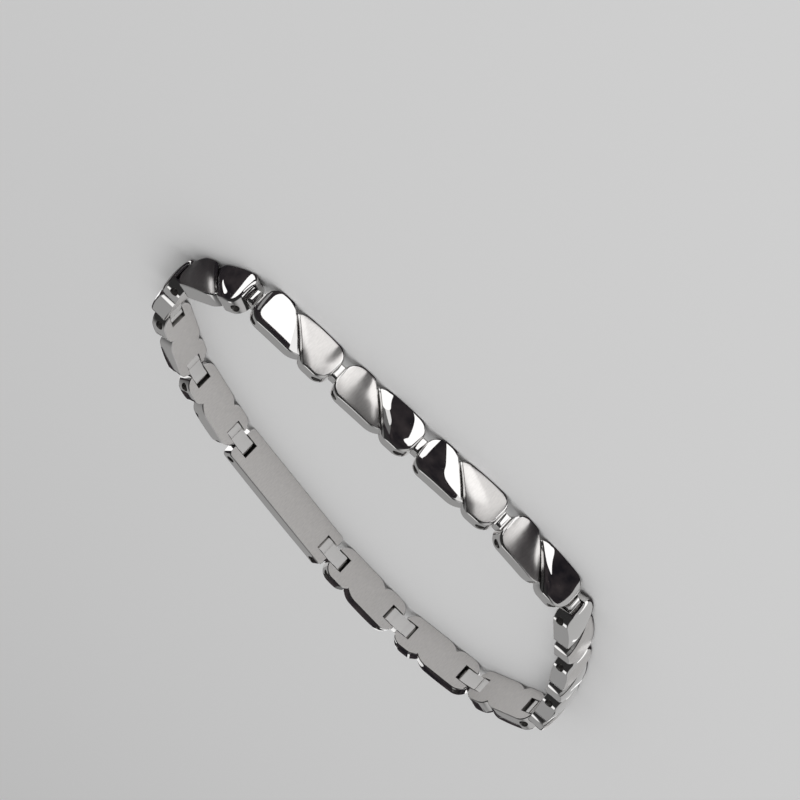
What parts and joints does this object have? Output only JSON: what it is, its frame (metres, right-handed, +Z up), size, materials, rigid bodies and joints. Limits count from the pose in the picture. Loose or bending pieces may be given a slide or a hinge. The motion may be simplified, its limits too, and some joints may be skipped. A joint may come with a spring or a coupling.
{
  "type": "titanium link bracelet",
  "caption": "Closed titanium bracelet of teardrop-lobed links in satin and mirror polish, joined by small pinned connectors and one plain clasp.",
  "frame": {"origin": "middle of the bracelet's box, on the surface that it lies on", "axes": "the loop lies in the XY plane with its long way along X and the pictured front towards -Y; +Z is up and runs across the band"},
  "size_m": [0.0707, 0.0564, 0.0048],
  "materials": {
    "link_titanium": "one lobe satin brushed across the band, the other mirror polished; groove, rims and sides polished",
    "connector_titanium": "polished, with the rib's top faintly brushed",
    "pin_titanium": "drawn wire with turned ends",
    "clasp_titanium": "satin top brushed along the band, with polished edges and sides"
  },
  "bodies": {
    "root": {"link_01": "link_titanium", "link_02": "link_titanium", "link_03": "link_titanium", "link_04": "link_titanium", "link_05": "link_titanium", "link_06": "link_titanium", "link_07": "link_titanium", "link_08": "link_titanium", "link_09": "link_titanium", "link_10": "link_titanium", "link_11": "link_titanium", "link_12": "link_titanium", "link_13": "link_titanium", "link_14": "link_titanium", "connector_01": "connector_titanium", "connector_02": "connector_titanium", "connector_03": "connector_titanium", "connector_04": "connector_titanium", "connector_05": "connector_titanium", "connector_06": "connector_titanium", "connector_07": "connector_titanium", "connector_08": "connector_titanium", "connector_09": "connector_titanium", "connector_10": "connector_titanium", "connector_11": "connector_titanium", "connector_12": "connector_titanium", "connector_13": "connector_titanium", "connector_14": "connector_titanium", "connector_15": "connector_titanium", "pin_01": "pin_titanium", "pin_02": "pin_titanium", "pin_03": "pin_titanium", "pin_04": "pin_titanium", "pin_05": "pin_titanium", "pin_06": "pin_titanium", "pin_07": "pin_titanium", "pin_08": "pin_titanium", "pin_09": "pin_titanium", "pin_10": "pin_titanium", "pin_11": "pin_titanium", "pin_12": "pin_titanium", "pin_13": "pin_titanium", "pin_14": "pin_titanium", "pin_15": "pin_titanium", "pin_16": "pin_titanium", "pin_17": "pin_titanium", "pin_18": "pin_titanium", "pin_19": "pin_titanium", "pin_20": "pin_titanium", "pin_21": "pin_titanium", "pin_22": "pin_titanium", "pin_23": "pin_titanium", "pin_24": "pin_titanium", "pin_25": "pin_titanium", "pin_26": "pin_titanium", "pin_27": "pin_titanium", "pin_28": "pin_titanium", "pin_29": "pin_titanium", "pin_30": "pin_titanium", "clasp": "clasp_titanium"}
  },
  "joints": []
}
